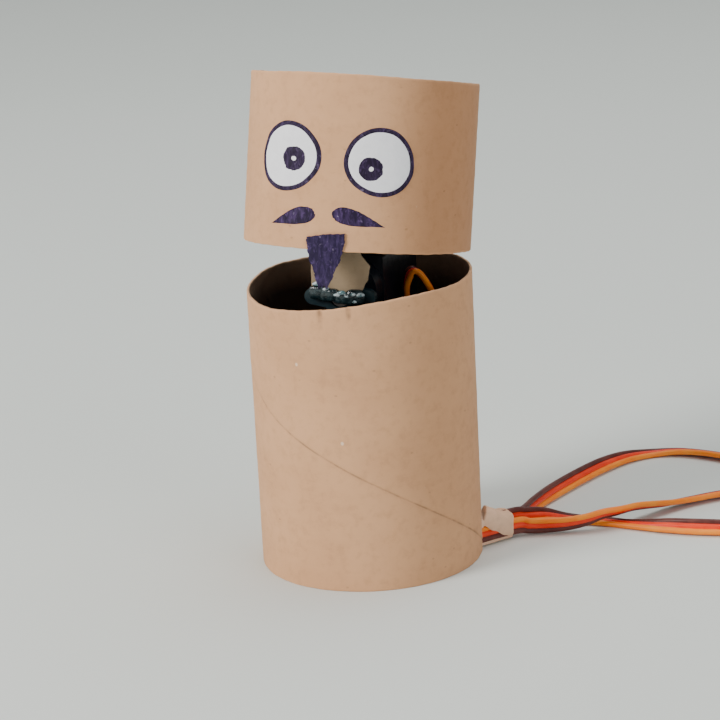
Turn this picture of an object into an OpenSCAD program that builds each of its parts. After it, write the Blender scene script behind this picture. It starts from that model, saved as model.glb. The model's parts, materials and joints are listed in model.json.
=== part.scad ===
// A card-tube puppet head moved by three micro servos.
// The body tube stands on the table. A turn servo inside it carries a tilt servo, the tilt servo
// carries a card strip with a nod servo, and the nod servo carries the head tube.
// Origin: centre of the base, on the table. +Z is up and the face looks along -Y.

/* [Card tubes] */
// Outer diameter of both card tubes
tube_d = 45; // [44.6:0.1:46]
// Wall of the card tubes
tube_wall = 0.6; // [0.5:0.05:0.7]
// Height of the body tube
body_h = 58; // [57.7:0.1:58.3]
// Height of the head tube
head_h = 33.2; // [31:0.1:36]
// How far the head leans back at rest, degrees
head_back = 10.9; // [9:0.1:11.5]
// How far the head leans to the side at rest, degrees
head_lean = 2.6; // [1:0.1:3]
// Thickness of the foam board base
base_t = 4.5; // [4.4:0.05:4.6]

/* [Micro servos] */
// Length of the servo case
case_l = 22.8; // [22.7:0.1:22.9]
// Width of the servo case
case_w = 12.2; // [12:0.1:12.2]
// Teeth on the output gear
output_teeth = 27; // [27]

/* [Leads] */
// Width of the flat three-wire lead
lead_w = 3.6; // [3.4:0.1:3.6]
// Thickness of one wire
wire_d = 1.2; // [1.1:0.05:1.2]

/* [Hidden] */
$fn = 64;

// ---- Servo, in its own frame: output shaft on Z, case bottom at z = 0, long side towards +X ----
shaft_end = 6.1;                    // shaft axis to the near end of the case
far_end = case_l - shaft_end;       // shaft axis to the far end of the case
wall = 1;
seam_low = 4.3;                     // bottom cover to body
ear_low = 15.9;
seam_high = 18.4;                   // ear top, body to top cover
case_top_z = 22.7;
tower_top = 27;
ear_reach = 4.7;
ear_hole_d = 2;
ear_hole_from_case = 2.5;
deck_low = 15.6;                    // floor under the gears
deck_high = 16.6;
spline_top = 30.2;
horn_top = 32.1;
fit = 0.05;                         // radial running clearance
pin_r = 0.5;
stub_r = 0.9;
boss_r = 2.7;
tower_r = 5.9;
motor_r = 4.8;

// ---- Gear train: motor pinion, then three double gears, then the output gear ----
idler_x = 5.875;                    // second axis, from the output axis
motor_x = idler_x + 4.7;
pressure = 25;
tooth_gap = 0.05;                   // taken off each tooth's thickness
long_tip = 0.9;                     // addendum of a pinion, in modules
short_tip = 0.7;                    // addendum of a wheel, in modules
mod_1 = 0.2;
mod_2 = 0.25;
pinion_teeth = 9;
output_mod = 2 * idler_x / (output_teeth + pinion_teeth);

// ---- Placing the three servos ----
turn_x = 0.8;                       // turn axis, a little off the tube axis so that the ears fit
tilt_z = base_t + horn_top + ear_reach + far_end;
tilt_y = 17;
nod_y = -4.3;
nod_z = tilt_z + 18.5;
nod_x = -12.8;
strip_t = 0.6;
strip_y = tilt_y - horn_top;

tube_r = tube_d / 2;
bore_r = tube_r - tube_wall;
rim_centre = [-0.2, 0.8, 64.6];     // centre of the head's lower rim

card = [0.78, 0.66, 0.55];
strip_card = [0.72, 0.65, 0.52];
case_blue = [0.10, 0.32, 0.62, 0.9];
gear_white = [0.93, 0.92, 0.88];
steel = [0.75, 0.75, 0.77];
lead_orange = [0.93, 0.45, 0.12];

// ---------------------------------------------------------------- small shapes
module round_rect(x0, x1, w, r) {
  translate([x0 + r, -w / 2]) square([x1 - x0 - 2 * r, w]);
  translate([x0, -w / 2 + r]) square([x1 - x0, w - 2 * r]);
  for (x = [x0 + r, x1 - r], y = [-w / 2 + r, w / 2 - r]) translate([x, y]) circle(r, $fn = 24);
}

module slab(x0, x1, w, z0, z1, r) translate([0, 0, z0]) linear_extrude(z1 - z0) round_rect(x0, x1, w, r);

module rod(r, z0, z1, sides = 40) translate([0, 0, z0]) cylinder(r = r, h = z1 - z0, $fn = sides);

// ---------------------------------------------------------------- gears
function polar_inv(r, base) = let (t = sqrt(max(0, (r / base) ^ 2 - 1))) t * 180 / PI - atan(t);

function tooth(n, m, tip, root) =
  let (pitch = n * m / 2, base = pitch * cos(pressure),
       half = 90 / n - tooth_gap / 2 / pitch * 180 / PI + polar_inv(pitch, base),
       radii = [pitch - root * m, max(base, pitch - root * m + 0.01), pitch, pitch + tip * m])
  [for (r = radii) [r, half - polar_inv(r, base)]];

function gear_outline(n, m, tip, root, turned) =
  let (flank = tooth(n, m, tip, root))
  [for (i = [0 : n - 1]) each concat(
    [for (p = flank) p[0] * [cos(360 * i / n + turned - p[1]), sin(360 * i / n + turned - p[1])]],
    [for (k = [len(flank) - 1 : -1 : 0]) let (p = flank[k])
      p[0] * [cos(360 * i / n + turned + p[1]), sin(360 * i / n + turned + p[1])]])];

module wheel(n, m, z0, z1, turned = 0)
  translate([0, 0, z0]) linear_extrude(z1 - z0)
    polygon(gear_outline(n, m, short_tip, long_tip + 0.25, turned));

module small_gear(n, m, z0, z1, turned = 0)
  translate([0, 0, z0]) linear_extrude(z1 - z0)
    polygon(gear_outline(n, m, long_tip, short_tip + 0.25, turned));

// Levels of the four meshes, bottom and top of the wheel in each
level = [[17, 18.1], [18.4, 19.5], [19.8, 20.9], [21.9, 23.6]];
lip = 0.3;

module pinion() {
  translate([motor_x, 0, 0]) {
    small_gear(pinion_teeth, mod_1, level[0][0] - lip, level[0][1] + 0.15);
    rod(0.4, 13, level[0][0] - lip);
  }
}

module gear_1() {
  translate([idler_x, 0, 0]) difference() {
    union() {
      wheel(38, mod_1, level[0][0], level[0][1]);
      small_gear(10, mod_2, level[0][1], level[1][1], 18);
    }
    rod(pin_r + fit, 0, 30);
  }
}

module gear_2() {
  difference() {
    union() {
      wheel(37, mod_2, level[1][0], level[1][1]);
      small_gear(13, mod_2, level[1][1], level[2][1]);
    }
    rod(stub_r + fit, 0, 30);
  }
}

module gear_3() {
  translate([idler_x, 0, 0]) difference() {
    union() {
      wheel(34, mod_2, level[2][0], level[2][1], 180 / 34);
      small_gear(pinion_teeth, output_mod, level[2][1], level[3][1] - 0.1);
    }
    rod(pin_r + fit, 0, 30);
  }
}

// Output gear, its shaft down into the potentiometer, and the splined top with a screw hole
module output_gear() {
  difference() {
    union() {
      wheel(output_teeth, output_mod, level[3][0], level[3][1]);
      rod(stub_r, 10.5, level[3][0]);
      rod(3, level[3][1], tower_top);
      translate([0, 0, tower_top]) linear_extrude(spline_top - tower_top)
        polygon([for (i = [0 : 41]) (i % 2 == 0 ? 2.4 : 2.2) * [cos(i * 60 / 7), sin(i * 60 / 7)]]);
    }
    rod(0.9, 26, 31);
  }
}

// ---------------------------------------------------------------- servo case
screw_spots = [for (x = [1.2 - shaft_end, far_end - 1.2], y = [-1, 1]) [x, y * (case_w / 2 - 1.2)]];

module screw_holes(r, z0, z1) for (p = screw_spots) translate(p) rod(r, z0, z1, 24);

module case_bottom() difference() {
  slab(-shaft_end, far_end, case_w, 0, seam_low, 0.8);
  slab(-shaft_end + 2.6, far_end - 2.6, case_w - 2 * wall, wall, seam_low + 1, 0.5);
  slab(-shaft_end + wall, far_end - wall, case_w - 5, wall, seam_low + 1, 0.5);
  translate([far_end - 2, -lead_w / 2 - 0.2, 2.1]) cube([3, lead_w + 0.4, wire_d + 0.3]);
  screw_holes(0.7, -1, seam_low + 1);
  screw_holes(1.15, -1, 0.9);
}

module case_body() difference() {
  union() {
    slab(-shaft_end, far_end, case_w, seam_low, seam_high, 0.8);
    slab(-shaft_end - ear_reach, far_end + ear_reach, case_w, ear_low, seam_high, 1.2);
  }
  slab(-shaft_end + 2.6, far_end - 2.6, case_w - 2 * wall, 0, deck_low, 0.5);
  slab(-shaft_end + wall, far_end - wall, case_w - 5, 0, deck_low, 0.5);
  rod(5.05, deck_high, 30);
  translate([idler_x, 0, 0]) rod(4.6, deck_high, 30);
  translate([motor_x, 0, 0]) rod(1.5, deck_low - 1, 30);
  rod(stub_r + 0.1, 0, 30);
  translate([idler_x, 0, 0]) rod(pin_r, deck_high - 0.8, 30);
  screw_holes(0.6, seam_low - 1, seam_high + 1);
  for (x = [-shaft_end - ear_hole_from_case, far_end + ear_hole_from_case])
    translate([x, 0, 0]) rod(ear_hole_d / 2, ear_low - 1, seam_high + 1);
}

module case_top() difference() {
  union() {
    slab(-shaft_end, far_end, case_w, seam_high, case_top_z, 0.8);
    rod(tower_r, case_top_z - 1, tower_top - 0.01);
    translate([idler_x, 0, 0]) rod(boss_r, case_top_z - 1, tower_top - 1.2);
  }
  rod(5.05, 0, 25.8);
  translate([idler_x, 0, 0]) rod(4.6, 0, 21.5);
  translate([idler_x, 0, 0]) rod(2, 0, 24.2);
  translate([motor_x, 0, 0]) rod(2, 0, 19.5);
  translate([idler_x, 0, 0]) rod(pin_r, 20, 25);
  rod(3 + fit, 20, 30);
  screw_holes(0.6, seam_high - 1, 20.6);
}

module motor() translate([motor_x, 0, 0]) difference() {
  union() {
    rod(motor_r, 4.5, 15.4);
    rod(1.3, 15.3, 16.2);
    rod(1.8, 3.6, 4.6);
  }
  rod(3.7, 5.3, 12.6);
  rod(0.45, 12, 17);
}

module board() difference() {
  translate([-shaft_end + 3, -4.3, 2.5]) cube([case_l - 6, 8.6, 0.8]);
  translate([motor_x, 0, 0]) rod(2.4, 0, 5);
}

module pot() difference() {
  union() {
    rod(4, 9, 13);
    rod(2.6, 12.9, 14.2);
    translate([-1.5, -4.6, 3.6]) cube([3, 0.5, 6]);
    translate([-3.4, -4.6, 9]) cube([6.8, 4, 1.2]);
  }
  rod(stub_r + fit, 10.2, 20);
}

// Four long case screws and the pin that the idler gears turn on
module pins() {
  for (p = screw_spots) translate(p) {
    rod(0.55, 0.3, 20.4, 20);
    rod(1.05, 0.1, 0.8, 24);
  }
  translate([idler_x, 0, 0]) rod(pin_r - 0.01, deck_high - 0.7, 24.6);
}

// Horn with two arms of the given reach, turned about the shaft
module horn(reach, turned) difference() {
  union() {
    rod(3.5, 27.4, horn_top);
    rotate(turned) translate([0, 0, horn_top - 1.4]) linear_extrude(1.4) {
      polygon([[-reach, -1.6], [0, -2.7], [reach, -1.6], [reach, 1.6], [0, 2.7], [-reach, 1.6]]);
      for (s = [-1, 1]) translate([s * reach, 0]) circle(1.6, $fn = 32);
    }
  }
  rod(2.42, 27, 30.3);
  rod(1, 30, 32);
  rod(2.1, 31.1, 33);
  rotate(turned) for (s = [-1, 1], x = [5 : 2 : reach]) translate([s * x, 0, 0]) rod(0.4, 29, 33, 16);
}

module horn_screw() difference() {
  union() {
    rod(0.85, 26.2, 31.2, 24);
    rod(1.9, 31.1, 31.9);
  }
  for (a = [0, 90]) rotate(a) translate([-1.2, -0.2, 31.5]) cube([2.4, 0.4, 1]);
}

// ---------------------------------------------------------------- placing
module at_turn() translate([turn_x, 0, base_t]) rotate(180) children();
module at_tilt() translate([turn_x, tilt_y, tilt_z]) rotate([90, 90, 0]) children();
module at_nod() translate([nod_x, nod_y, nod_z]) rotate([90, 0, 90]) children();
module on_head() translate(rim_centre) rotate([-head_back, head_lean, 0]) children();

// ---------------------------------------------------------------- card pieces
rim_rise = [2.4, 1.1];              // the body's hand-cut top edge rises towards +X and +Y, degrees
wrap_at = [22.1, 9.6];              // middle of the wrap
wrap_dir = 50;                      // direction in which the leads leave the body
wrap_from = -6.5;                   // along wrap_dir from wrap_at
wrap_to = 5.6;
wrap_w = 5.8;
wrap_h = 6.6;
across_wrap = [-sin(wrap_dir), cos(wrap_dir), 0];

module at_wrap() translate([wrap_at[0], wrap_at[1], 0]) rotate(wrap_dir) children();

module body_tube() color(card) difference() {
  cylinder(r = tube_r, h = body_h + 3, $fn = 96);
  translate([0, 0, -1]) cylinder(r = bore_r, h = body_h + 5, $fn = 96);
  translate([0, 0, body_h]) rotate([rim_rise[1], -rim_rise[0], 0]) translate([-30, -30, 0]) cube([60, 60, 10]);
  at_wrap() translate([-7, -3.1, -1]) cube([14, 6.2, 7.9]);
}

base_cut_dir = 30;

// Foam board base, cut straight on the side where the leads come down
module base_disc() color([0.93, 0.92, 0.89]) difference() {
  cylinder(r = bore_r, h = base_t, $fn = 96);
  rotate(base_cut_dir) translate([9, -30, -1]) cube([30, 60, base_t + 2]);
}

module cable_wrap() color(card) at_wrap() difference() {
  translate([wrap_from, 0, 0]) rotate([90, 0, 90]) linear_extrude(wrap_to - wrap_from)
    translate([0, wrap_h / 2 + 0.05]) rotate(90) round_rect(-wrap_h / 2, wrap_h / 2, wrap_w, 1);
  translate([wrap_from - 1, -2.3, 0.55]) cube([wrap_to - wrap_from + 2, 4.6, 5.6]);
}

module head_tube() color(card) on_head() difference() {
  cylinder(r = tube_r, h = head_h, $fn = 96);
  translate([0, 0, -1]) cylinder(r = bore_r, h = head_h + 2, $fn = 96);
}

// A curved patch on the outside of the head: an outline pushed through a thin shell
module head_patch(t, z0, z1) intersection() {
  difference() {
    translate([0, 0, z0]) cylinder(r = tube_r + t, h = z1 - z0, $fn = 96);
    translate([0, 0, z0 - 1]) cylinder(r = tube_r, h = z1 - z0 + 2, $fn = 96);
  }
  translate([0, 0, 0]) rotate([90, 0, 0]) linear_extrude(40) children();
}

eye_size = [13.2, 12.4];
eye_places = [[-21.7, 17.7], [25.8, 17.2]];   // turned from the middle of the face, height on the head

module paper_eyes() color([0.9, 0.89, 0.91]) on_head()
  for (e = eye_places) rotate(e[0]) head_patch(0.15, 8, 26)
    polygon([for (a = [0 : 12 : 348]) [eye_size[0] / 2 * cos(a), e[1] + eye_size[1] / 2 * sin(a)]]);

beard_dir = 1;
beard_top = 3.2;
beard_drop = 6.8;

module beard_tab() color([0.33, 0.26, 0.5]) on_head() rotate(beard_dir)
  head_patch(0.4, -beard_drop - 1, beard_top + 1)
    polygon([[-3.7, beard_top - 0.6], [0, beard_top], [3.7, beard_top], [3.7, 0], [3.1, -2.2], [2, -4.4],
             [1.2, -beard_drop], [-0.8, -beard_drop + 0.3], [-1.8, -4.4], [-3, -2.2], [-3.6, 0]]);

strip_x = [-4.7, 7.3];
strip_low = tilt_z;                 // the strip starts level with the tilt axis
strip_high = nod_z + 7.5;

module neck_strip() color(strip_card)
  translate([strip_x[0], strip_y - strip_t, strip_low])
    cube([strip_x[1] - strip_x[0], strip_t, strip_high - strip_low]);

// ---------------------------------------------------------------- leads
function unit(v) = v / norm(v);

// Height of a lead's middle where it lies on the table, for its twist and how far it is lifted
function lying(p) = [p[0], p[1], p[2] + 0.05 + lead_w / 2 * abs(sin(p[3])) + wire_d / 2 * abs(cos(p[3])), p[3]];

// Flat tube of eight sides along a route of [x, y, z, twist]; hint is the wide side at no twist
module ribbon(route, hint = [0, 0, 0]) {
  last = len(route) - 1;
  points = [for (i = [0 : last]) let (
      p = [route[i][0], route[i][1], route[i][2]],
      before = route[max(i - 1, 0)], after = route[min(i + 1, last)],
      along = unit([after[0] - before[0], after[1] - before[1], after[2] - before[2]]),
      side = norm(hint) == 0 ? unit(cross([0, 0, 1], along)) : unit(hint - (hint * along) * along),
      face = cross(along, side),
      wide = side * cos(route[i][3]) + face * sin(route[i][3]),
      thick = cross(along, wide))
    each [for (k = [0 : 7]) let (
        a = [1, 0.7, -0.7, -1, -1, -0.7, 0.7, 1][k] * lead_w / 2,
        b = [0.5, 1, 1, 0.5, -0.5, -1, -1, -0.5][k] * wire_d / 2)
      p + a * wide + b * thick]];
  sides = [for (i = [0 : last - 1], k = [0 : 7]) let (n = (k + 1) % 8)
    each [[8 * i + k, 8 * i + 8 + k, 8 * i + 8 + n], [8 * i + k, 8 * i + 8 + n, 8 * i + n]]];
  polyhedron(points, concat([[for (k = [0 : 7]) k]], sides, [[for (k = [7 : -1 : 0]) 8 * last + k]]));
}

// Place of lead k (-1, 0 or 1) inside the wrap, s along it; leads stand on edge there
function in_wrap(s, k) =
  [wrap_at[0] + s * cos(wrap_dir) - 1.4 * k * sin(wrap_dir),
   wrap_at[1] + s * sin(wrap_dir) + 1.4 * k * cos(wrap_dir), [2.5, 4.2, 3.1][k + 1], 90];

turn_route = [[25.8, 18.5, 0.6, 90], [26.4, 23, 0, 90], [27.2, 28, 0, 85], [28.6, 34, 0, 75], [30.6, 41, 0, 60],
              [33.2, 49, 0, 50], [36.2, 57, 0, 38], [39.8, 64, 0, 20], [44.4, 68.6, 0, 2],
              [50.4, 70.2, 0, -10], [57, 69.2, 0, -16], [64, 66.8, 0, -16], [71, 64.2, 0, -12],
              [78, 62.2, 0, -6], [86, 61, 0, 0]];
tilt_route = [[29.6, 14.8, 0.1, 100], [33.2, 16, 0, 108], [37, 17.4, 0.1, 116], [40.6, 18.9, 0.7, 124],
              [43.6, 20.6, 1.6, 134], [46.6, 23, 1.8, 142], [49.2, 26.2, 1.8, 148], [51.8, 29.8, 1.2, 153],
              [54.8, 34, 0.4, 158], [58.6, 38.4, 0, 162], [63.4, 42.6, 0, 164], [68.2, 45.8, 0, 167],
              [73, 48.2, 0, 170], [80, 49.8, 0, 176], [88, 50.4, 0, 180]];
nod_route = [[28.2, 17.2, 1.4, 70], [31.6, 20.6, 0.8, 40], [35.4, 23, 0.2, 10], [39.6, 23.8, 0, 0],
             [44, 23.6, 0, 0], [48, 23, 0, 0], [52, 22.2, 0, 10], [57, 21.2, 0, 30], [63, 20.8, 0, 42],
             [70, 21.6, 0, 38], [78, 24, 0, 15], [88, 26.6, 0, 0]];

function outer(route, k) = concat([in_wrap(-6, k), in_wrap(5.8, k)], [for (p = route) lying(p)]);

module outer_lead(route, k) color(lead_orange) ribbon(outer(route, k));

turn_inner = [[-15.9, 0, 7.25, 90], [-17.2, 0, 7.25, 75], [-19, 2, 7.2, 30], [-19, 6.4, 7, 0],
              [-15.6, 11.8, 6.8, 0], [-9, 16.6, 6.8, 0], [-1, 18.4, 6.8, 0], [6, 17, 6.6, 0],
              [10.6, 13, 4.8, 0], [12.4, 8.4, 3.4, 0], [13, 4.8, 3.1, 0], [13.9, 3.1, 3.1, 0]];
tilt_slack = [[0.8, 14.25, 41.3, -60], [0.8, 14.25, 39.6, -60], [3, 14.6, 37.8, -30], [7, 14.4, 38.2, 0],
              [9.4, 11.4, 43, -20], [9, 6.6, 49, -30], [8.8, 3.2, 54.4, -35], [9.6, 2, 58, -20],
              [11, 2, 59.2, 0], [12.6, 2.6, 57.6, 20], [14.2, 3.6, 53.6, 30], [15, 4.2, 46, 35],
              [15.4, 3.4, 34, 45], [15.6, 0.6, 22, 65], [14.8, -2.6, 12, 85]];
nod_upper = [[-10.15, 12.4, 76.5, 90], [-10.15, 13.8, 76.5, 75], [-10.1, 15.8, 74.6, 30],
             [-10, 16.8, 70, 0], [-9.4, 16.6, 64, 0], [-9, 15.4, 58, 0], [-8.8, 15, 54, 0]];
nod_slack = [[-8.8, 15, 53.8, -60], [-8.6, 15.4, 47, -60], [-7.6, 16.6, 40, -60], [-4, 18, 33, -60],
             [3, 17.6, 27, -60], [8.4, 14.4, 20, -60], [10.8, 9.4, 14.4, -75], [11.6, 4, 10.4, -85],
             [12.6, 0.2, 7.8, -90]];

module inner_lead(route, hint) color(lead_orange) ribbon(route, hint);

// The last stretch of an inner lead, coming down into the wrap
function into_wrap(k, twist, steps) = [for (s = steps) let (p = in_wrap(s, k))
  [p[0], p[1], p[2] + 0.3 * max(0, -10 - s) ^ 2, twist]];

// Three-pole socket on the end of a lead, lying flat
module plug(route) let (end = lying(route[len(route) - 1]), from = route[len(route) - 2])
  translate([end[0], end[1], 0]) rotate(atan2(end[1] - from[1], end[0] - from[0])) color([0.05, 0.05, 0.05])
    difference() {
      translate([0, -3.85, 0.02]) cube([14, 7.7, 2.5]);
      translate([-1, -lead_w / 2 - 0.1, end[2] - 0.7]) cube([3, lead_w + 0.2, 1.4]);
      for (y = [-2.54, 0, 2.54]) translate([8, y - 0.4, 0.87]) cube([7, 0.8, 0.8]);
      for (y = [-2.54, 0, 2.54]) translate([4, y - 0.7, 2]) cube([5, 1.4, 1]);
    }

// ---------------------------------------------------------------- drawing
body_tube();
base_disc();
cable_wrap();
head_tube();
paper_eyes();
beard_tab();
neck_strip();
color(case_blue) at_turn() case_bottom();  // turn_case_bottom
color(case_blue) at_turn() case_body();  // turn_case_body
color(case_blue) at_turn() case_top();  // turn_case_top
color(steel) at_turn() motor();  // turn_motor
color(steel) at_turn() pinion();  // turn_pinion
color(gear_white) at_turn() gear_1();  // turn_gear_1
color(gear_white) at_turn() gear_2();  // turn_gear_2
color(gear_white) at_turn() gear_3();  // turn_gear_3
color(gear_white) at_turn() output_gear();  // turn_output
color("darkgreen") at_turn() board();  // turn_board
color("dimgray") at_turn() pot();  // turn_pot
color(steel) at_turn() pins();  // turn_pins
color("white") at_turn() horn(13, 90);  // turn_horn
color(steel) at_turn() horn_screw();  // turn_horn_screw
color(case_blue) at_tilt() case_bottom();  // tilt_case_bottom
color(case_blue) at_tilt() case_body();  // tilt_case_body
color(case_blue) at_tilt() case_top();  // tilt_case_top
color(steel) at_tilt() motor();  // tilt_motor
color(steel) at_tilt() pinion();  // tilt_pinion
color(gear_white) at_tilt() gear_1();  // tilt_gear_1
color(gear_white) at_tilt() gear_2();  // tilt_gear_2
color(gear_white) at_tilt() gear_3();  // tilt_gear_3
color(gear_white) at_tilt() output_gear();  // tilt_output
color("darkgreen") at_tilt() board();  // tilt_board
color("dimgray") at_tilt() pot();  // tilt_pot
color(steel) at_tilt() pins();  // tilt_pins
color("white") at_tilt() horn(5.6, 90);  // tilt_horn
color(steel) at_tilt() horn_screw();  // tilt_horn_screw
color(case_blue) at_nod() case_bottom();  // nod_case_bottom
color(case_blue) at_nod() case_body();  // nod_case_body
color(case_blue) at_nod() case_top();  // nod_case_top
color(steel) at_nod() motor();  // nod_motor
color(steel) at_nod() pinion();  // nod_pinion
color(gear_white) at_nod() gear_1();  // nod_gear_1
color(gear_white) at_nod() gear_2();  // nod_gear_2
color(gear_white) at_nod() gear_3();  // nod_gear_3
color(gear_white) at_nod() output_gear();  // nod_output
color("darkgreen") at_nod() board();  // nod_board
color("dimgray") at_nod() pot();  // nod_pot
color(steel) at_nod() pins();  // nod_pins
color("white") at_nod() horn(9, 90);  // nod_horn
color(steel) at_nod() horn_screw();  // nod_horn_screw
inner_lead(concat(turn_inner, into_wrap(1, 0, [-9, -6])), [0, 0, 1]);  // turn_lead_inner
inner_lead(concat(tilt_slack, into_wrap(-1, 90, [-13.5, -11, -8.5, -6])), across_wrap);  // tilt_lead_slack
inner_lead(nod_upper, [1, 0, 0]);  // nod_lead_upper
inner_lead(concat(nod_slack, into_wrap(0, -90, [-9.5, -6])), across_wrap);  // nod_lead_slack
outer_lead(turn_route, 1);  // turn_lead
outer_lead(tilt_route, -1);  // tilt_lead
outer_lead(nod_route, 0);  // nod_lead
plug(turn_route);  // turn_plug
plug(tilt_route);  // tilt_plug
plug(nod_route);  // nod_plug
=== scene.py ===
"""Looks of the card-tube puppet that three micro servos move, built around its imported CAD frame."""
import json
import math
import random

import bpy
from mathutils import Matrix, Vector


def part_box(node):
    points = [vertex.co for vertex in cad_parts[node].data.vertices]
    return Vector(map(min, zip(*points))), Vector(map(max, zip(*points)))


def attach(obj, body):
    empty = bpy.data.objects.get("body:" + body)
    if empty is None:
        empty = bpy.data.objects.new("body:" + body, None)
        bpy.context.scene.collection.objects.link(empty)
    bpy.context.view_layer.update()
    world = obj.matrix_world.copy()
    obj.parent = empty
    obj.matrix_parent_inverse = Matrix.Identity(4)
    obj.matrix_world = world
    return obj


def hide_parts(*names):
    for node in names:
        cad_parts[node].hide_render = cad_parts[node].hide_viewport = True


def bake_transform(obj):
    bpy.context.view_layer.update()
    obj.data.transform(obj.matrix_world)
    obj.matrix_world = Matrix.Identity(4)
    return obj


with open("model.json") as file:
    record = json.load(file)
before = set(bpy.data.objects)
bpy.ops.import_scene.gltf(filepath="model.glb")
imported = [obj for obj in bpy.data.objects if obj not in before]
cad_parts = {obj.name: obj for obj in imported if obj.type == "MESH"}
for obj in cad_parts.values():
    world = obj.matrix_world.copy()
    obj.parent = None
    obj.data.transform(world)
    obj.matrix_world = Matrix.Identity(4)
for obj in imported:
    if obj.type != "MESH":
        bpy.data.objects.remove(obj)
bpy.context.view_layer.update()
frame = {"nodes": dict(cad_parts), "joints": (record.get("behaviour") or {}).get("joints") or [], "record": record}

MM = 0.001
NODES = frame["nodes"]

# ---------------------------------------------------------------- driving dimensions, in millimetres
TUBE_R = 22.5
WALL = 0.6
BODY_H = 58
RIM_RISE = (math.tan(math.radians(2.4)), math.tan(math.radians(1.1)))  # of the body's top edge, to +X and +Y
HEAD_H = 33.2
HEAD_BACK = 10.9                        # degrees that the head leans back and to its side at rest
HEAD_LEAN = 2.6
RIM_CENTRE = (-0.2, 0.8, 64.6)          # middle of the head's lower rim
LEAD_W = 3.6
WIRE_D = 1.2
WRAP_AT = (22.1, 9.6)                   # middle of the card wrap, and the direction in which the leads leave
WRAP_DIR = math.radians(50)
WRAP_FROM = -6.5                        # the wrap's two ends, along that direction
WRAP_TO = 5.6
WRAP_W = 5.8
WRAP_H = 6.6

HEAD = (Matrix.Translation(Vector(RIM_CENTRE))
        @ Matrix.Rotation(math.radians(HEAD_LEAN), 4, "Y")
        @ Matrix.Rotation(math.radians(-HEAD_BACK), 4, "X"))
UPRIGHT = Matrix.Identity(4)


# ---------------------------------------------------------------- camera
def make_camera():
    """Long lens, low above the table, turned to the object's left side and rolled a little."""
    azimuth, elevation, roll = math.radians(18), math.radians(16.29), math.radians(-2.93)
    distance, aim_z, aim_right = 521, 40.94, -0.61
    lens, sensor_width, nearest = 130, 36, 10
    level = Vector((math.cos(azimuth), math.sin(azimuth), 0))
    back = Vector((math.sin(azimuth) * math.cos(elevation), -math.cos(azimuth) * math.cos(elevation),
                   math.sin(elevation)))
    above = back.cross(level)
    right = level * math.cos(roll) + above * math.sin(roll)
    up = above * math.cos(roll) - level * math.sin(roll)
    place = level * aim_right + Vector((0, 0, aim_z)) + back * distance
    data = bpy.data.cameras.new("camera")
    data.lens = lens
    data.sensor_width = sensor_width
    data.clip_start = nearest * MM
    camera = bpy.data.objects.new("camera", data)
    bpy.context.scene.collection.objects.link(camera)
    turn = Matrix((right, up, back)).transposed().to_4x4()
    camera.matrix_world = Matrix.Translation(place * MM) @ turn
    bpy.context.scene.camera = camera


make_camera()


# ---------------------------------------------------------------- mesh helpers
def wave(seed, turns, size):
    """A smooth wobble of one angle in radians that closes on itself."""
    draw = random.Random(seed)
    parts = [(k, draw.uniform(0, math.tau), draw.uniform(0.5, 1)) for k in turns]
    return lambda a: size * sum(w * math.sin(k * a + p) for k, p, w in parts) / len(parts)


def mesh_object(name, points, faces, matrix=UPRIGHT, faces_material=None):
    """A smooth-shaded mesh object whose points are given in millimetres, before matrix."""
    mesh = bpy.data.meshes.new(name)
    mesh.from_pydata([(matrix @ Vector(p)) * MM for p in points], [], faces)
    if faces_material:
        mesh.polygons.foreach_set("material_index", faces_material)
    mesh.validate()
    mesh.update()
    mesh.polygons.foreach_set("use_smooth", [True] * len(mesh.polygons))
    piece = bpy.data.objects.new(name, mesh)
    bpy.context.scene.collection.objects.link(piece)
    return piece


def sharpen(piece, degrees):
    """Marks edges sharper than the angle, so that smooth shading keeps them crisp."""
    piece.data.set_sharp_from_angle(angle=math.radians(degrees))


def paint(piece, **attributes):
    """Numbers at the mesh's points, one list for each name that a material reads."""
    for name, values in attributes.items():
        layer = piece.data.attributes.new(name, "FLOAT", "POINT")
        layer.data.foreach_set("value", values)


def finish_piece(piece, body, materials, replaced=()):
    """Gives a piece its materials and the body it rides on, and hides the CAD nodes it stands in for."""
    for material in materials:
        piece.data.materials.append(material)
    if body:
        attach(piece, body)
    if replaced:
        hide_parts(*replaced)


def grid_faces(rows, columns, closed, flip=False):
    """Quads of a grid of points stored row by row; closed joins the last column to the first."""
    faces = []
    for r in range(rows - 1):
        for c in range(columns if closed else columns - 1):
            n = (c + 1) % columns
            quad = (r * columns + c, r * columns + n, (r + 1) * columns + n, (r + 1) * columns + c)
            faces.append(quad[::-1] if flip else quad)
    return faces


def sheet_faces(rows, columns, flip=False):
    """Quads of a closed sheet: two grids of points, one behind the other, joined all round their borders."""
    front = grid_faces(rows, columns, False, flip)
    back = rows * columns
    faces = front + [tuple(back + i for i in face[::-1]) for face in front]
    border = [(0, c) for c in range(columns)] + [(r, columns - 1) for r in range(1, rows)]
    border += [(rows - 1, c) for c in range(columns - 2, -1, -1)] + [(r, 0) for r in range(rows - 2, 0, -1)]
    for (r0, c0), (r1, c1) in zip(border, border[1:] + border[:1]):
        i, j = r0 * columns + c0, r1 * columns + c1
        faces.append((i, j, back + j, back + i) if flip else (i, back + i, back + j, j))
    return faces


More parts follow.
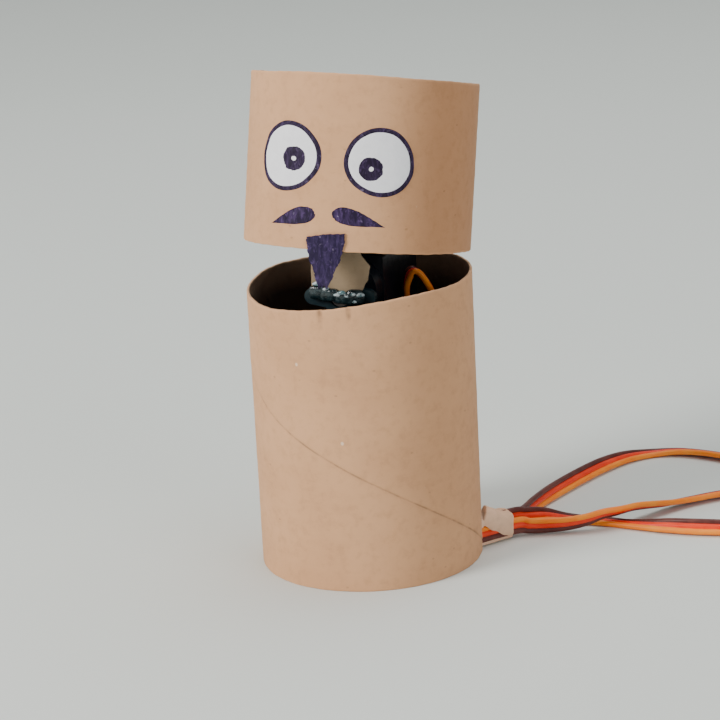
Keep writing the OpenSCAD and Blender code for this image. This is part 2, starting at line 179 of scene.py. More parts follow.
# ---------------------------------------------------------------- material helpers
class Nodes:
    """A material's node tree, with short calls that add a node and give its output."""

    def __init__(self, name):
        self.material = bpy.data.materials.new(name)
        self.material.use_nodes = True
        self.tree = self.material.node_tree
        self.shader = self.tree.nodes["Principled BSDF"]
        self.place = self.add("ShaderNodeTexCoord", "Object")

    def put(self, node, inputs):
        """Sets a node's inputs, each to a number, to a colour or vector, or by a link from an output."""
        for key, value in inputs.items():
            socket = node.inputs[key]
            if isinstance(value, tuple):
                socket.default_value = (*value, 1)[:len(socket.default_value)]
            elif isinstance(value, (int, float)):
                socket.default_value = value
            else:
                self.tree.links.new(value, socket)

    def add(self, kind, output, inputs=None, **settings):
        """A new node's output, once the node has its settings and inputs."""
        node = self.tree.nodes.new(kind)
        for key, value in settings.items():
            setattr(node, key, value)
        self.put(node, inputs or {})
        return node.outputs[output]

    def stretched(self, scale, turn=(0, 0, 0)):
        """The place in the object, turned and scaled: a larger scale makes a finer pattern."""
        return self.add("ShaderNodeMapping", "Vector",
                        {"Scale": scale, "Rotation": turn, "Vector": self.place})

    def noise(self, scale, detail=4, rough=0.55, vector=None, distortion=0):
        """Soft noise over the place in the object, or over a vector."""
        return self.add("ShaderNodeTexNoise", "Fac", {
            "Scale": scale, "Detail": detail, "Roughness": rough, "Distortion": distortion,
            "Vector": vector or self.place})

    def cells(self, scale, vector):
        """Distance to the nearest of many scattered points."""
        return self.add("ShaderNodeTexVoronoi", "Distance", {"Scale": scale, "Vector": vector})

    def ramp(self, value, low, high, start=0.0, end=1.0):
        """start where value is low, end where it is high, and a smooth step between."""
        return self.add("ShaderNodeMapRange", "Result", {
            "Value": value, "From Min": low, "From Max": high, "To Min": start, "To Max": end},
            interpolation_type="SMOOTHSTEP")

    def math(self, operation, first, second):
        """The operation on two numbers."""
        return self.add("ShaderNodeMath", "Value", {0: first, 1: second}, operation=operation)

    def mix(self, share, first, second, blend="MIX"):
        """The first colour with a share of the second. Inputs 6 and 7 and output 2 are the node's colours."""
        return self.add("ShaderNodeMix", 2, {"Factor": share, 6: first, 7: second},
                        data_type="RGBA", blend_type=blend)

    def read(self, name):
        """The numbers that paint put on the mesh, or 0 where there are none."""
        return self.add("ShaderNodeAttribute", "Fac", attribute_name=name)

    def bump(self, height, distance, strength, under=None):
        """A normal from a height, distance in metres; under is a normal that it lies on."""
        below = {"Normal": under} if under else {}
        return self.add("ShaderNodeBump", "Normal",
                        {"Distance": distance, "Strength": strength, "Height": height, **below})

    def finish(self, color, rough, **values):
        """Sets the shader's inputs, a name's underscores standing for spaces, and gives the material."""
        self.put(self.shader, {"Base Color": color, "Roughness": rough})
        self.put(self.shader, {key.replace("_", " "): value for key, value in values.items()})
        return self.material


FLECK_TONE = (0.9, 0.74, 0.58)
PAINTED_SHADE_TONE = (0.72, 0.64, 0.58)
SEAM_AND_CREASE_SHADOW_TONE = (0.2, 0.11, 0.06)
SKIPPED_INK = (0.34, 0.28, 0.4)


def card_material(name, pale, mid, dark, fleck=1.0, seam_and_crease_shadow_tone=SEAM_AND_CREASE_SHADOW_TONE):
    """Grey-brown roll-core card: cloudy pulp, lying fibres, pale and dark flecks, a fuzzy nap."""
    n = Nodes(name)
    cloud = n.noise(60, detail=3)
    pulp = n.noise(520, detail=5, rough=0.65)
    band = n.noise(1, detail=3, vector=n.stretched((90, 90, 900), (0.22, 0.15, 0)))
    fibre = n.noise(1, detail=4, rough=0.7, vector=n.stretched((700, 700, 3200), (0.3, -0.25, 0)))
    color = n.mix(n.ramp(cloud, 0.3, 0.7), mid, pale)
    color = n.mix(n.ramp(pulp, 0.45, 0.75, 0, 0.28), color, dark)
    color = n.mix(n.ramp(band, 0.45, 0.75, 0, 0.3), color, pale)
    color = n.mix(n.ramp(fibre, 0.56, 0.74, 0, 0.35), color, pale)
    specks = n.cells(150, vector=n.stretched((1, 1, 0.8), (0.2, 0.4, 0.7)))
    color = n.mix(n.ramp(specks, 0.06, 0.03, 0, 0.6 * fleck), color, FLECK_TONE)
    dots = n.cells(190, vector=n.stretched((1, 1, 1.6), (0.5, 0.9, 0.2)))
    color = n.mix(n.ramp(dots, 0.08, 0.04, 0, 0.5 * fleck), color, dark)
    # Painted shade: the tubes' right side, away from the key light, is darkened by the shade numbers that
    # tube_points paints
    painted_shade = n.math("MULTIPLY", n.read("shade"), n.ramp(cloud, 0.2, 0.6, 0.7, 1))
    color = n.mix(painted_shade, color, PAINTED_SHADE_TONE, "MULTIPLY")
    # The spiral ply edge's dark joint line, and painted shadow in the two narrow dents below the body's rim
    seam_and_crease_shadow = n.math("MULTIPLY", n.read("seam_and_crease_shadow"), n.ramp(n.noise(420, detail=4), 0.38, 0.64, 0.22, 0.68))
    color = n.mix(seam_and_crease_shadow, color, seam_and_crease_shadow_tone)
    worn = n.read("edge")
    color = n.mix(n.math("MULTIPLY", worn, 0.45), color, tuple(min(1.15 * c, 1) for c in pale))
    # Painted shade inside the tube: the inner skin darkens almost to black away from the rims
    color = n.mix(n.math("MULTIPLY", n.read("inside_painted_shade"), 0.9), color, tuple(0.1 * c for c in dark))
    low = n.bump(n.noise(240, detail=4), 0.00012, 0.5)
    height = n.math("ADD", fibre, n.math("MULTIPLY", pulp, 0.6))
    normal = n.bump(height, 0.00006, 0.6, under=low)
    return n.finish(color, n.ramp(pulp, 0.3, 0.7, 0.78, 0.93), Normal=normal, Sheen_Weight=0.04,
                    Sheen_Roughness=0.6, Specular_IOR_Level=0.25)


def ink_material(name, base, light, wear=0.35):
    """Marker ink on card: strokes side by side, thin where the pen skipped."""
    n = Nodes(name)
    stroke = n.noise(1, detail=3, rough=0.6, vector=n.stretched((1500, 1500, 260), (0.1, 0.25, 0)))
    blot = n.noise(900, detail=4, rough=0.6)
    scribble = n.noise(1, detail=4, rough=0.65, distortion=1.5,
                       vector=n.stretched((900, 900, 500), (0.5, -0.6, 0.3)))
    color = n.mix(n.ramp(stroke, 0.4, 0.75, 0, 0.6), base, light)
    color = n.mix(n.ramp(scribble, 0.52, 0.68, 0, 0.75), color, light)
    color = n.mix(n.ramp(blot, 0.6, 0.74, 0, wear), color, SKIPPED_INK)
    normal = n.bump(n.noise(1400, detail=4), 0.00005, 0.5)
    return n.finish(color, n.ramp(blot, 0.3, 0.7, 0.55, 0.8), Normal=normal, Specular_IOR_Level=0.2)


def paper_material(name, white):
    """Plain paper or foam board, a little smudged."""
    n = Nodes(name)
    grain = n.noise(700, detail=5, rough=0.7)
    smudge = n.noise(160, detail=3)
    color = n.mix(n.ramp(grain, 0.35, 0.75, 0, 0.25), white, (0.72, 0.7, 0.75))
    color = n.mix(n.ramp(smudge, 0.5, 0.8, 0, 0.25), color, (0.66, 0.63, 0.72))
    return n.finish(color, 0.82, Normal=n.bump(grain, 0.00006, 0.6), Specular_IOR_Level=0.25)


def plastic_material(name, base, shade, rough=0.35, scale=500, **values):
    """Moulded plastic: a trace of flow marks, a fine skin and handling marks."""
    n = Nodes(name)
    flow = n.noise(1, detail=3, vector=n.stretched((140, 140, 420)))
    fine = n.noise(scale * 4, detail=3)
    rub = n.noise(scale, detail=5, rough=0.7)
    color = n.mix(n.ramp(flow, 0.35, 0.75), base, shade)
    roughness = n.ramp(rub, 0.35, 0.75, rough, min(rough + 0.2, 1.0))
    return n.finish(color, roughness, Normal=n.bump(fine, 0.00002, 0.4), **values)


def metal_material(name, base, shade, rough, turned):
    """Machined metal: fine lines, scaled by turned, and dull stains."""
    n = Nodes(name)
    lines = n.noise(1, detail=4, rough=0.6, vector=n.stretched(turned))
    stain = n.noise(380, detail=4)
    color = n.mix(n.ramp(stain, 0.4, 0.75, 0, 0.7), base, shade)
    roughness = n.ramp(lines, 0.35, 0.7, rough, rough + 0.2)
    return n.finish(color, roughness, Normal=n.bump(lines, 0.00002, 0.4), Metallic=1.0)


def wire_material(name, base, shade):
    """Soft PVC insulation: slightly uneven colour and a dull shine."""
    n = Nodes(name)
    tone = n.noise(300, detail=3)
    fine = n.noise(2600, detail=3)
    color = n.mix(n.ramp(tone, 0.35, 0.7), base, shade)
    return n.finish(color, n.ramp(tone, 0.3, 0.7, 0.34, 0.5), Normal=n.bump(fine, 0.00003, 0.35),
                    Specular_IOR_Level=0.35, Coat_Weight=0.03, Coat_Roughness=0.35)


def glue_material(name, thick, thin):
    """Cooled glue: a thick and a thin tone mixed by cloudy noise, and a wet-looking uneven skin."""
    n = Nodes(name)
    cloud = n.noise(900, detail=3)
    color = n.mix(n.ramp(cloud, 0.38, 0.62), thick, thin)
    return n.finish(color, n.ramp(cloud, 0.3, 0.7, 0.06, 0.3), Normal=n.bump(cloud, 0.0003, 0.8),
                    Transmission_Weight=0.3, IOR=1.48, Coat_Weight=0.4, Coat_Roughness=0.1)


# The tones are linear colours
CARD = card_material("roll_core_card", (0.72, 0.397, 0.207), (0.65, 0.35, 0.18), (0.42, 0.217, 0.105))
# The inner skin's card: a darker copy of the outer card, partly the inner ply's own tone and partly painted shade
# inside the tube
CARD_INSIDE_SHADED = card_material("roll_core_inside_shaded", (0.42, 0.28, 0.18), (0.32, 0.2, 0.125), (0.17, 0.1, 0.06),
                            0.4, (0.5, 0.37, 0.27))
CARD_EDGE = card_material("cut_card_edge", (0.68, 0.41, 0.24), (0.56, 0.33, 0.18), (0.36, 0.2, 0.1), 0.4)
STRIP_CARD = card_material("neck_card", (0.31, 0.225, 0.14), (0.25, 0.175, 0.105), (0.14, 0.095, 0.055), 0.4)
TAPE_CARD = card_material("wrap_card", (0.88, 0.59, 0.41), (0.82, 0.53, 0.35), (0.5, 0.3, 0.18), 0.3)
DARK_INK = ink_material("dark_marker", (0.016, 0.008, 0.026), (0.07, 0.042, 0.11), 0.4)
MOUSTACHE_INK = ink_material("moustache_marker", (0.016, 0.008, 0.03), (0.1, 0.055, 0.17), 0.7)
BEARD_INK = ink_material("beard_marker", (0.014, 0.007, 0.034), (0.07, 0.042, 0.13), 0.35)
WHITE_PAPER = paper_material("eye_paper", (0.95, 0.94, 0.97))
FOAM_BOARD = paper_material("foam_board", (0.82, 0.8, 0.76))
# Clear hot glue: its pale patches are partly cloudy glue and partly painted glints
GLUE_WITH_GLINTS = glue_material("hot_glue_painted_glints", (0.11, 0.22, 0.24), (0.8, 0.9, 0.92))
# Near-black teal glue at the strip's foot: painted shade, standing for blue plastic seen in the dark inside the
# tube
TEAL_GLUE_PAINTED_SHADE = glue_material("glue_painted_shade", (0.006, 0.016, 0.02), (0.022, 0.045, 0.052))
WIRES = [wire_material("wire_brown", (0.1, 0.024, 0.02), (0.16, 0.045, 0.035)),
         wire_material("wire_red", (0.84, 0.035, 0.004), (0.95, 0.065, 0.012)),
         wire_material("wire_orange", (1.0, 0.23, 0.006), (1.0, 0.31, 0.02))]
SLOT_MATERIALS = {
    "foam_board": FOAM_BOARD,
    # Servo cases: blue plastic darkened almost to black, as painted shade inside the tubes
    "case_plastic": plastic_material("case_blue_painted_shade", (0.003, 0.005, 0.01), (0.005, 0.008, 0.016), 0.35),
    "gear_plastic": plastic_material("gear_nylon", (0.78, 0.75, 0.68), (0.85, 0.83, 0.78), 0.42,
                                     Subsurface_Weight=0.08),
    # Servo horns: a near-black teal standing for blue plastic in shade inside the tube, as painted shade
    "horn_plastic": plastic_material("horn_teal_painted_shade", (0.006, 0.018, 0.024), (0.01, 0.03, 0.036), 0.3),
    "plug": plastic_material("plug_black", (0.012, 0.012, 0.013), (0.022, 0.022, 0.023), 0.45),
    "pot": plastic_material("pot_plastic", (0.02, 0.02, 0.022), (0.05, 0.045, 0.04), 0.5),
    "board": plastic_material("board_laminate", (0.015, 0.12, 0.045), (0.03, 0.17, 0.07), 0.3, 900),
    "steel": metal_material("bright_steel", (0.62, 0.61, 0.6), (0.45, 0.44, 0.43), 0.22, (300, 300, 5000)),
    "brass": metal_material("turned_brass", (0.72, 0.5, 0.2), (0.55, 0.37, 0.15), 0.24, (300, 300, 5000)),
}


def dress_cad_nodes():
    """Gives every CAD node that stays in view the material of its slot."""
    for part in frame["record"]["subparts"]:
        material = SLOT_MATERIALS.get(part["material_slot"])
        if material:
            mesh = NODES[part["node"]].data
            mesh.materials.clear()
            mesh.materials.append(material)


dress_cad_nodes()


# ---------------------------------------------------------------- card tubes
def helix(middle, slope):
    """A spiral ply edge. At an angle in degrees from the front it gives its height, or None off the tube,
    and the height round which the grid's rows gather, which comes back down where the edge is off."""
    turn = abs(slope) * 360

    def height(degrees, top):
        z = (middle - slope * degrees) % turn
        if z < top:
            return z, z
        return None, top * (1 - (z - top) / (turn - top))

    return height


SEAM_SLOPE = 0.241                      # millimetres per degree round the tube
SEAM_OUT = helix(26.8, SEAM_SLOPE)
SEAM_IN = helix(34.7, SEAM_SLOPE)


def smooth(value, low, high):
    """0 below low, 1 above high and an even curve between."""
    t = min(max((value - low) / (high - low), 0), 1)
    return t * t * (3 - 2 * t)


def near(degrees, at, width):
    """1 at an angle, falling smoothly to 0 away from it."""
    off = (degrees - at + 180) % 360 - 180
    return math.exp(-(off / width) ** 2)


def unevenness(bumps, degrees, start=0):
    """start and a sum of soft bumps round a tube, each given as its height, its angle and its width."""
    return sum((high * near(degrees, at, width) for high, at, width in bumps), start)


def body_rise(degrees):
    """How much the body's hand-cut top edge is above or below its mean height."""
    a = math.radians(degrees)
    slant = TUBE_R * (RIM_RISE[0] * math.sin(a) - RIM_RISE[1] * math.cos(a))
    return unevenness(((-0.78, -34, 27), (0.72, 40, 26), (0.55, -112, 20), (0.2, 120, 20)), degrees, slant)


def head_rise(degrees):
    """How much the head's top edge is above or below its mean height."""
    return unevenness(((0.4, 0, 42), (-0.4, 95, 32), (-0.5, 180, 60)), degrees)


def skin(seed):
    """How far a tube's surface stands out at an angle and a height: not quite round, softly rippled."""
    oval = wave(seed, (2, 3, 5), 0.16)
    ripple = wave(seed + 3, (11, 17, 29), 0.05)
    return lambda a, z: oval(a) + ripple(a + z / 9)


TUBE_COLUMNS = 480
BODY_SEED, HEAD_SEED = 3, 11
HEAD_SKIN = skin(HEAD_SEED)


def seam_profile(offset):
    """How far the surface steps in at a distance in mm above a ply edge, and how dark it is."""
    gap = math.exp(-(offset / 0.16) ** 2)
    step = 0.035 * (1 + math.tanh(offset / 0.16))
    fade = math.exp(-(offset / 2.2) ** 2)
    return 0.11 * gap - step * fade, gap + 0.16 * math.exp(-(offset / 0.6) ** 2)


def rows_for(height, gather_z):
    """Heights of the grid's rows at one angle: close together at the rims and at the ply edge."""
    steps = (-0.9, -0.35, -0.15, 0, 0.15, 0.35, 0.9)
    rim = (0, 0.06, 0.2, 0.5)
    count, rim_gap = 24, 2.2
    middle = min(max(gather_z, rim_gap), height - rim_gap)
    low, high = rim[-1], height - rim[-1]
    lower = [low + (middle + steps[0] - low) * k / count for k in range(1, count)]
    upper = [middle + steps[-1] + (high - middle - steps[-1]) * k / count for k in range(1, count)]
    return [*rim] + lower + [middle + d for d in steps] + upper + [height - d for d in reversed(rim)]


def tube_points(height, rise, stands, seed, seam_shift, shade, dents):
    """Points of a tube's outer and then inner skin, column by column, and what its materials read there."""
    bulge = skin(seed)
    rim_wave = (wave(seed + 1, (3, 7, 19, 43), 0.12), wave(seed + 2, (4, 9, 23, 57), 0.12))
    points, marks = [], {"seam_and_crease_shadow": [], "edge": [], "inside_painted_shade": [], "shade": []}
    for inside in (False, True):
        base = TUBE_R - (WALL if inside else 0)
        side = -1 if inside else 1
        seam_at = SEAM_IN if inside else SEAM_OUT
        for c in range(TUBE_COLUMNS):
            degrees = c * 360 / TUBE_COLUMNS - 180
            a = math.radians(degrees)
            seam_z, gather_z = seam_at(degrees - seam_shift, height)
            for z in rows_for(height, gather_z):
                inward, dark = seam_profile(z - seam_z) if seam_z is not None else (0, 0)
                from_rim = min(z, height - z)
                rounded = 0.14 * max(0, 1 - from_rim / 0.2) ** 2
                r = base + bulge(a, z) - side * (inward + rounded)
                for at, top, depth, width, reach in dents:
                    across = (degrees - at) * math.radians(TUBE_R) - (top - z) * 0.06
                    press = math.exp(-(across / width) ** 2) * max(0, 1 - abs(top - z) / reach)
                    r -= depth * press
                    # Painted shadow in the narrow dents, kept with the ply edge's dark line
                    dark = max(dark, 2.2 * press if width < 1 else 0)
                fray = rim_wave[1 if z > height / 2 else 0](a) * max(0, 1 - from_rim / 3)
                lifted = z + (fray + rise(degrees) * z / height)
                points.append((r * math.sin(a), -r * math.cos(a), max(lifted, 0) if stands else lifted))
                marks["seam_and_crease_shadow"].append(min(dark, 1))
                marks["edge"].append(max(0, 1 - from_rim / 0.35))
                # Painted shade: inner skin points darken the farther they are from a rim
                marks["inside_painted_shade"].append(min(max((from_rim - 1.2) / 5, 0), 1) if inside else 0)
                # Painted shade on the outer skin: none at the front, full from 62 to 90 degrees to the right, gone
                # past 130
                painted_shade = shade * smooth(degrees, 18, 62) * (1 - smooth(degrees, 90, 130))
                marks["shade"].append(0 if inside else painted_shade)
    return points, marks


def tube_faces(points, notch):
    """Quads of a tube's outer skin, inner skin and cut edges and the material of each, without the notch."""
    rows = len(points) // (2 * TUBE_COLUMNS)
    faces, kinds = [], []

    def outer(c, r):
        return c % TUBE_COLUMNS * rows + r

    def inner(c, r):
        return TUBE_COLUMNS * rows + outer(c, r)

    def add(quad, kind, flip=False):
        faces.append(quad[::-1] if flip else quad)
        kinds.append(kind)

    def cut(c, r):
        z = (points[outer(c, r)][2] + points[outer(c, r + 1)][2]) / 2
        off = (c + 0.5) * 360 / TUBE_COLUMNS - 180 - notch[0]
        return abs(off) < notch[1] and z < notch[2]

    gone = {(c, r) for c in range(TUBE_COLUMNS) for r in range(rows - 1) if notch and cut(c, r)}
    for c in range(TUBE_COLUMNS):
        for r in range(rows - 1):
            if (c, r) in gone:
                continue
            add((outer(c, r), outer(c + 1, r), outer(c + 1, r + 1), outer(c, r + 1)), 0)
            add((inner(c, r), inner(c, r + 1), inner(c + 1, r + 1), inner(c + 1, r)), 1)
            for dc, e in ((-1, c), (1, c + 1)):
                if ((c + dc) % TUBE_COLUMNS, r) in gone:
                    add((outer(e, r), outer(e, r + 1), inner(e, r + 1), inner(e, r)), 2, flip=dc < 0)
            for dr, row in ((-1, r), (1, r + 1)):
                if (c, r + dr) in gone or row in (0, rows - 1):
                    add((outer(c, row), outer(c + 1, row), inner(c + 1, row), inner(c, row)), 2, flip=dr < 0)
    return faces, kinds


def tube_piece(name, height, rise, matrix, seed, seam_shift, shade, dents=(), notch=None):
    """A roll-core tube: two skins with spiral ply edges, frayed rims, soft waves and small dents."""
    points, marks = tube_points(height, rise, matrix == UPRIGHT, seed, seam_shift, shade, dents)
    faces, kinds = tube_faces(points, notch)
    piece = mesh_object(name, points, faces, matrix, kinds)
    sharpen(piece, 40)
    paint(piece, **marks)
    return piece


# Each dent's angle, the height of its middle, its depth, its width across and its reach up and down
DENTS = ((-2.5, BODY_H, 0.4, 0.4, 3.8), (12, BODY_H, 0.34, 0.38, 3.2), (30, BODY_H - 4, 0.12, 3, 5),
         (-48, BODY_H - 9, 0.1, 4, 6))
NOTCH = (111.5, 9.6, 6.9)               # where the leads leave: middle and half width in degrees, height
TUBE_MATERIALS = [CARD, CARD_INSIDE_SHADED, CARD_EDGE]
finish_piece(tube_piece("body_card", BODY_H, body_rise, UPRIGHT, BODY_SEED, 0, 0.3, DENTS, NOTCH),
             "base", TUBE_MATERIALS, ["body_tube"])
finish_piece(tube_piece("head_card", HEAD_H, head_rise, HEAD, HEAD_SEED, 150, 1),
             "nod", TUBE_MATERIALS, ["head_tube"])


# ---------------------------------------------------------------- the drawn face
def on_tube(degrees, z, r):
    """A point of the head, r from its axis and at an angle from the middle of its front."""
    a = math.radians(degrees)
    return (r * math.sin(a), -r * math.cos(a), z)


def ring_patch(name, middle, outer, inner_share, low, high, rings=7, steps=72):
    """A thin curved patch on the head. outer(t) gives the outline in mm across and up from middle, and
    inner_share is where the patch starts, from 0 at the middle to just under 1 for a thin outline."""
    per_mm = 1 / math.radians(TUBE_R)
    core_share = 0.02                   # a full patch starts as a tiny outline and not as a point
    points = []
    for level in (high, low):
        for k in range(rings + 1):
            share = inner_share + (1 - inner_share) * k / rings if inner_share or k else core_share
            rounded = low if level == high and (k == rings or (k == 0 and inner_share)) else level
            for s in range(steps):
                x, z = outer(s / steps * math.tau)
                degrees, height = middle[0] + x * share * per_mm, middle[1] + z * share
                bulge = HEAD_SKIN(math.radians(degrees), height)
                points.append(on_tube(degrees, height, TUBE_R + bulge + rounded))
    half = (rings + 1) * steps
    front = grid_faces(rings + 1, steps, True)
    faces = front + [tuple(half + i for i in face[::-1]) for face in front]
    last = rings * steps
    for s in range(steps):
        n = (s + 1) % steps
        faces.append((last + s, half + last + s, half + last + n, last + n))
        if inner_share:
            faces.append((s, n, half + n, half + s))
    if not inner_share:
        faces.append(tuple(range(steps))[::-1])
        faces.append(tuple(half + s for s in range(steps)))
    return mesh_object(name, points, faces, HEAD)


def egg(wide, tall, point=0.0, lean=0.0, wobble=None):
    """An egg outline in mm: pointed towards lean degrees from straight up, drawn by an unsteady hand."""
    turn = math.radians(lean)

    def outline(t):
        r = 1 + (wobble(t) if wobble else 0)
        u, v = math.sin(t), math.cos(t)
        x = wide / 2 * u * r * (1 - point * v)
        z = tall / 2 * v * r * (1 + 0.25 * point * v)
        return x * math.cos(turn) + z * math.sin(turn), -x * math.sin(turn) + z * math.cos(turn)

    return outline


def teardrop(length, width, rise):
    """A moustache half in mm: a fat round end on the right, a thin tip at the lower left."""
    turn = math.asin(rise / length)
    fattest = 0.345                     # largest value of the curve along^1.3 * sqrt(1 - along)

    def outline(t):
        along = 0.5 + 0.5 * math.cos(t)
        half = along ** 1.3 * math.sqrt(1 - along) / fattest
        x = (along - 0.6) * length
        z = math.copysign(half * width / 2, math.sin(t)) + 0.2 * math.sin(along * math.pi)
        return x * math.cos(turn) - z * math.sin(turn), x * math.sin(turn) + z * math.cos(turn)

    return outline


PAPER_TOP = 0.15
INK = 0.03
# middle and pupil are an angle from the face's middle and a height, wide and tall are the paper's in mm,
# and ring is the pupil's width and height
EYES = [dict(name="left", middle=(-21.7, 17.45), wide=14.2, tall=13.1, point=0.08, lean=-18, seed=5,
             pupil=(-18.0, 17.1), ring=(5.7, 5.05)),
        dict(name="right", middle=(25.8, 17.2), wide=13.5, tall=12.8, point=0.04, lean=12, seed=9,
             pupil=(21.5, 15.9), ring=(5.1, 4.95))]


def make_eye(eye):
    """White paper cut to an egg, with an outline, a dark ring and a dot of white in the pupil."""
    line_from, white_dot, overlap = 0.835, 0.1, 0.25
    shaky = wave(eye["seed"], (2, 3, 5, 9), 0.018)
    rough = wave(eye["seed"] + 1, (3, 5, 8, 21), 0.04)
    shape = egg(eye["wide"], eye["tall"], eye["point"], eye["lean"], shaky)
    line = egg(eye["wide"] + overlap, eye["tall"] + overlap, eye["point"], eye["lean"], shaky)
    paper = ring_patch("eye_paper_" + eye["name"], eye["middle"], shape, 0, 0, PAPER_TOP)
    outline = ring_patch("eye_outline_" + eye["name"], eye["middle"], line,
                         line_from, 0.02, PAPER_TOP + INK, 3, 96)
    pupil = ring_patch("pupil_" + eye["name"], eye["pupil"], egg(*eye["ring"], 0, 0, rough),
                       white_dot, PAPER_TOP - 0.02, PAPER_TOP + INK, 4, 64)
    for piece, slot, material in ((paper, "white_paper", WHITE_PAPER), (outline, "purple_paper", DARK_INK),
                                  (pupil, "purple_paper", DARK_INK)):
        finish_piece(piece, "nod", [material])
    return paper


eye_papers = [make_eye(eye) for eye in EYES]
for eye_paper in eye_papers:
    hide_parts("paper_eyes")


def make_moustache():
    """Two drops drawn with the marker, thin at their outer tips."""
    length, width = 10.7, 3.3
    for name, middle, side, rise, seed in (("left", (-15.4, 5.95), 1, 2.7, 21),
                                           ("right", (14.2, 6.3), -1, 2.3, 22)):
        drop = teardrop(length, width, rise)
        rough = wave(seed, (5, 9, 17), 0.015)

        def outline(t):
            x, z = drop(t)
            return side * x * (1 + rough(t)), z * (1 + rough(t))

        piece = ring_patch("moustache_" + name, middle, outline, 0, 0, INK, 6, 120)
        if side < 0:
            piece.data.flip_normals()
        finish_piece(piece, "nod", [MOUSTACHE_INK])


make_moustache()


def make_beard():
    """A paper tongue glued on the head's front, hanging below the rim and a little curled at its end."""
    across, along, thick, glue_gap = 17, 34, 0.34, 0.03
    top, drop, narrows_at = 3.15, 6.8, -0.6
    ragged = wave(31, (3, 7, 11, 19), 0.3)
    points = []
    for face in (1, 0):
        for k in range(along + 1):
            t = k / along
            z = top - (top + drop) * t
            if z > narrows_at:
                half = 3.55 + 0.18 * math.cos(z - 2.2)
            else:
                half = 3.4 - 0.4 * (-z + narrows_at) + 0.1 * math.sin(z * 2.2)
            half = half + ragged(t * 5) * 0.8
            centre = 0.25 * max(0, t - 0.3)
            curl = 0.3 * max(0, -z - 2) ** 1.5 / 6
            for c in range(across):
                share = c / (across - 1) * 2 - 1
                x = centre + half * share
                torn_tip = (0.28 * math.sin(share * 7) - 0.5 * share * share) * max(0, t - 0.9) * 10
                slanted_top = (0.55 * share - 0.25 * abs(share)) * max(0, 0.12 - t) * 8
                cup = 0.12 * share * share * max(0, -z) / drop
                r = TUBE_R + glue_gap + face * thick + curl * 0.5 + cup
                height = z + (torn_tip + slanted_top) + 0.05 * math.sin(c * 2.1 + k)
                points.append(on_tube(1 + x / math.radians(TUBE_R), height, r))
    piece = mesh_object("beard_paper", points, sheet_faces(along + 1, across, flip=True), HEAD)
    sharpen(piece, 45)
    finish_piece(piece, "nod", [BEARD_INK], ["beard_tab"])


make_beard()


# ---------------------------------------------------------------- neck strip and hot glue
def make_neck_strip():
    """A card strip with a torn right edge, whose faces have the lumps of pressed pulp."""
    low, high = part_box("neck_strip")
    x0, x1 = low.x / MM, high.x / MM
    y0, y1 = low.y / MM, high.y / MM
    z0, z1 = low.z / MM, high.z / MM
    columns, rows = 28, 64
    torn = wave(41, (5, 9, 14, 23, 37), 0.55)
    straight = wave(42, (3, 8, 21), 0.12)
    lumps = wave(43, (7, 12, 19), 0.07)
    points, worn = [], []
    for y, out in ((y0, -1), (y1, 1)):
        for r in range(rows + 1):
            t = r / rows
            left = x0 + 0.15 + straight(t * 3)
            height = z0 + (z1 - z0) * t
            narrow = 1.5 * smooth(height, z0 + 6.4, z0 + 9) + 1.9 * (1 - smooth(height, z0 + 0.6, z0 + 4.6))
            right = x1 - 0.2 - narrow + 0.75 * torn(t * 3.1)
            for c in range(columns + 1):
                s = c / columns
                thin = 0.16 * max(0, s - 0.86) / 0.14
                swell = lumps(t * 5 + s * 2) * 0.5
                x = left + (right - left) * s
                z = height + 0.1 * math.sin(s * 17) * (1 if r in (0, rows) else 0)
                points.append((x, y - out * thin + swell, z))
                worn.append(max(0, s - 0.9) * 8 + max(0, 0.04 - s) * 20)
    piece = mesh_object("neck_card", points, sheet_faces(rows + 1, columns + 1))
    sharpen(piece, 45)
    paint(piece, edge=worn)
    finish_piece(piece, "tilt", [STRIP_CARD], ["neck_strip"])


make_neck_strip()


def glue_blob(name, body, middle, size, seed, material=GLUE_WITH_GLINTS, square=1.0):
    """A cooled blob of hot glue: an uneven drop, or a squarer lump where square is under 1."""
    draw = random.Random(seed)
    pushes = [(Vector([draw.gauss(0, 1) for _ in range(3)]).normalized(), draw.uniform(-0.3, 0.35))
              for _ in range(9)]
    rings, steps = 18, 28
    points = [(0, 0, -1)]
    for r in range(1, rings):
        tilt = math.pi * r / rings
        for s in range(steps):
            a = math.tau * s / steps
            points.append((math.sin(tilt) * math.cos(a), math.sin(tilt) * math.sin(a), -math.cos(tilt)))
    points.append((0, 0, 1))
    shaped = []
    for p in points:
        v = Vector(p)
        swell = 1 + sum(w * max(0, v.dot(d)) ** 3 for d, w in pushes) * square
        shaped.append([m + math.copysign(abs(u) ** square, u) * swell * reach
                       for m, u, reach in zip(middle, v, size)])
    faces = [(0, 1 + (s + 1) % steps, 1 + s) for s in range(steps)]
    for r in range(rings - 2):
        base = 1 + r * steps
        for s in range(steps):
            n = (s + 1) % steps
            faces.append((base + s, base + n, base + steps + n, base + steps + s))
    top = len(points) - 1
    faces += [(top, top - steps + s, top - steps + (s + 1) % steps) for s in range(steps)]
    finish_piece(mesh_object(name, shaped, faces), body, [material])


tilt_axis = Vector(next(j for j in frame["joints"] if j["name"] == "tilt_joint")["pos_m"]) / MM
nod_axis = Vector(next(j for j in frame["joints"] if j["name"] == "nod_joint")["pos_m"]) / MM
strip_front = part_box("neck_strip")[0].y / MM
strip_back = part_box("neck_strip")[1].y / MM
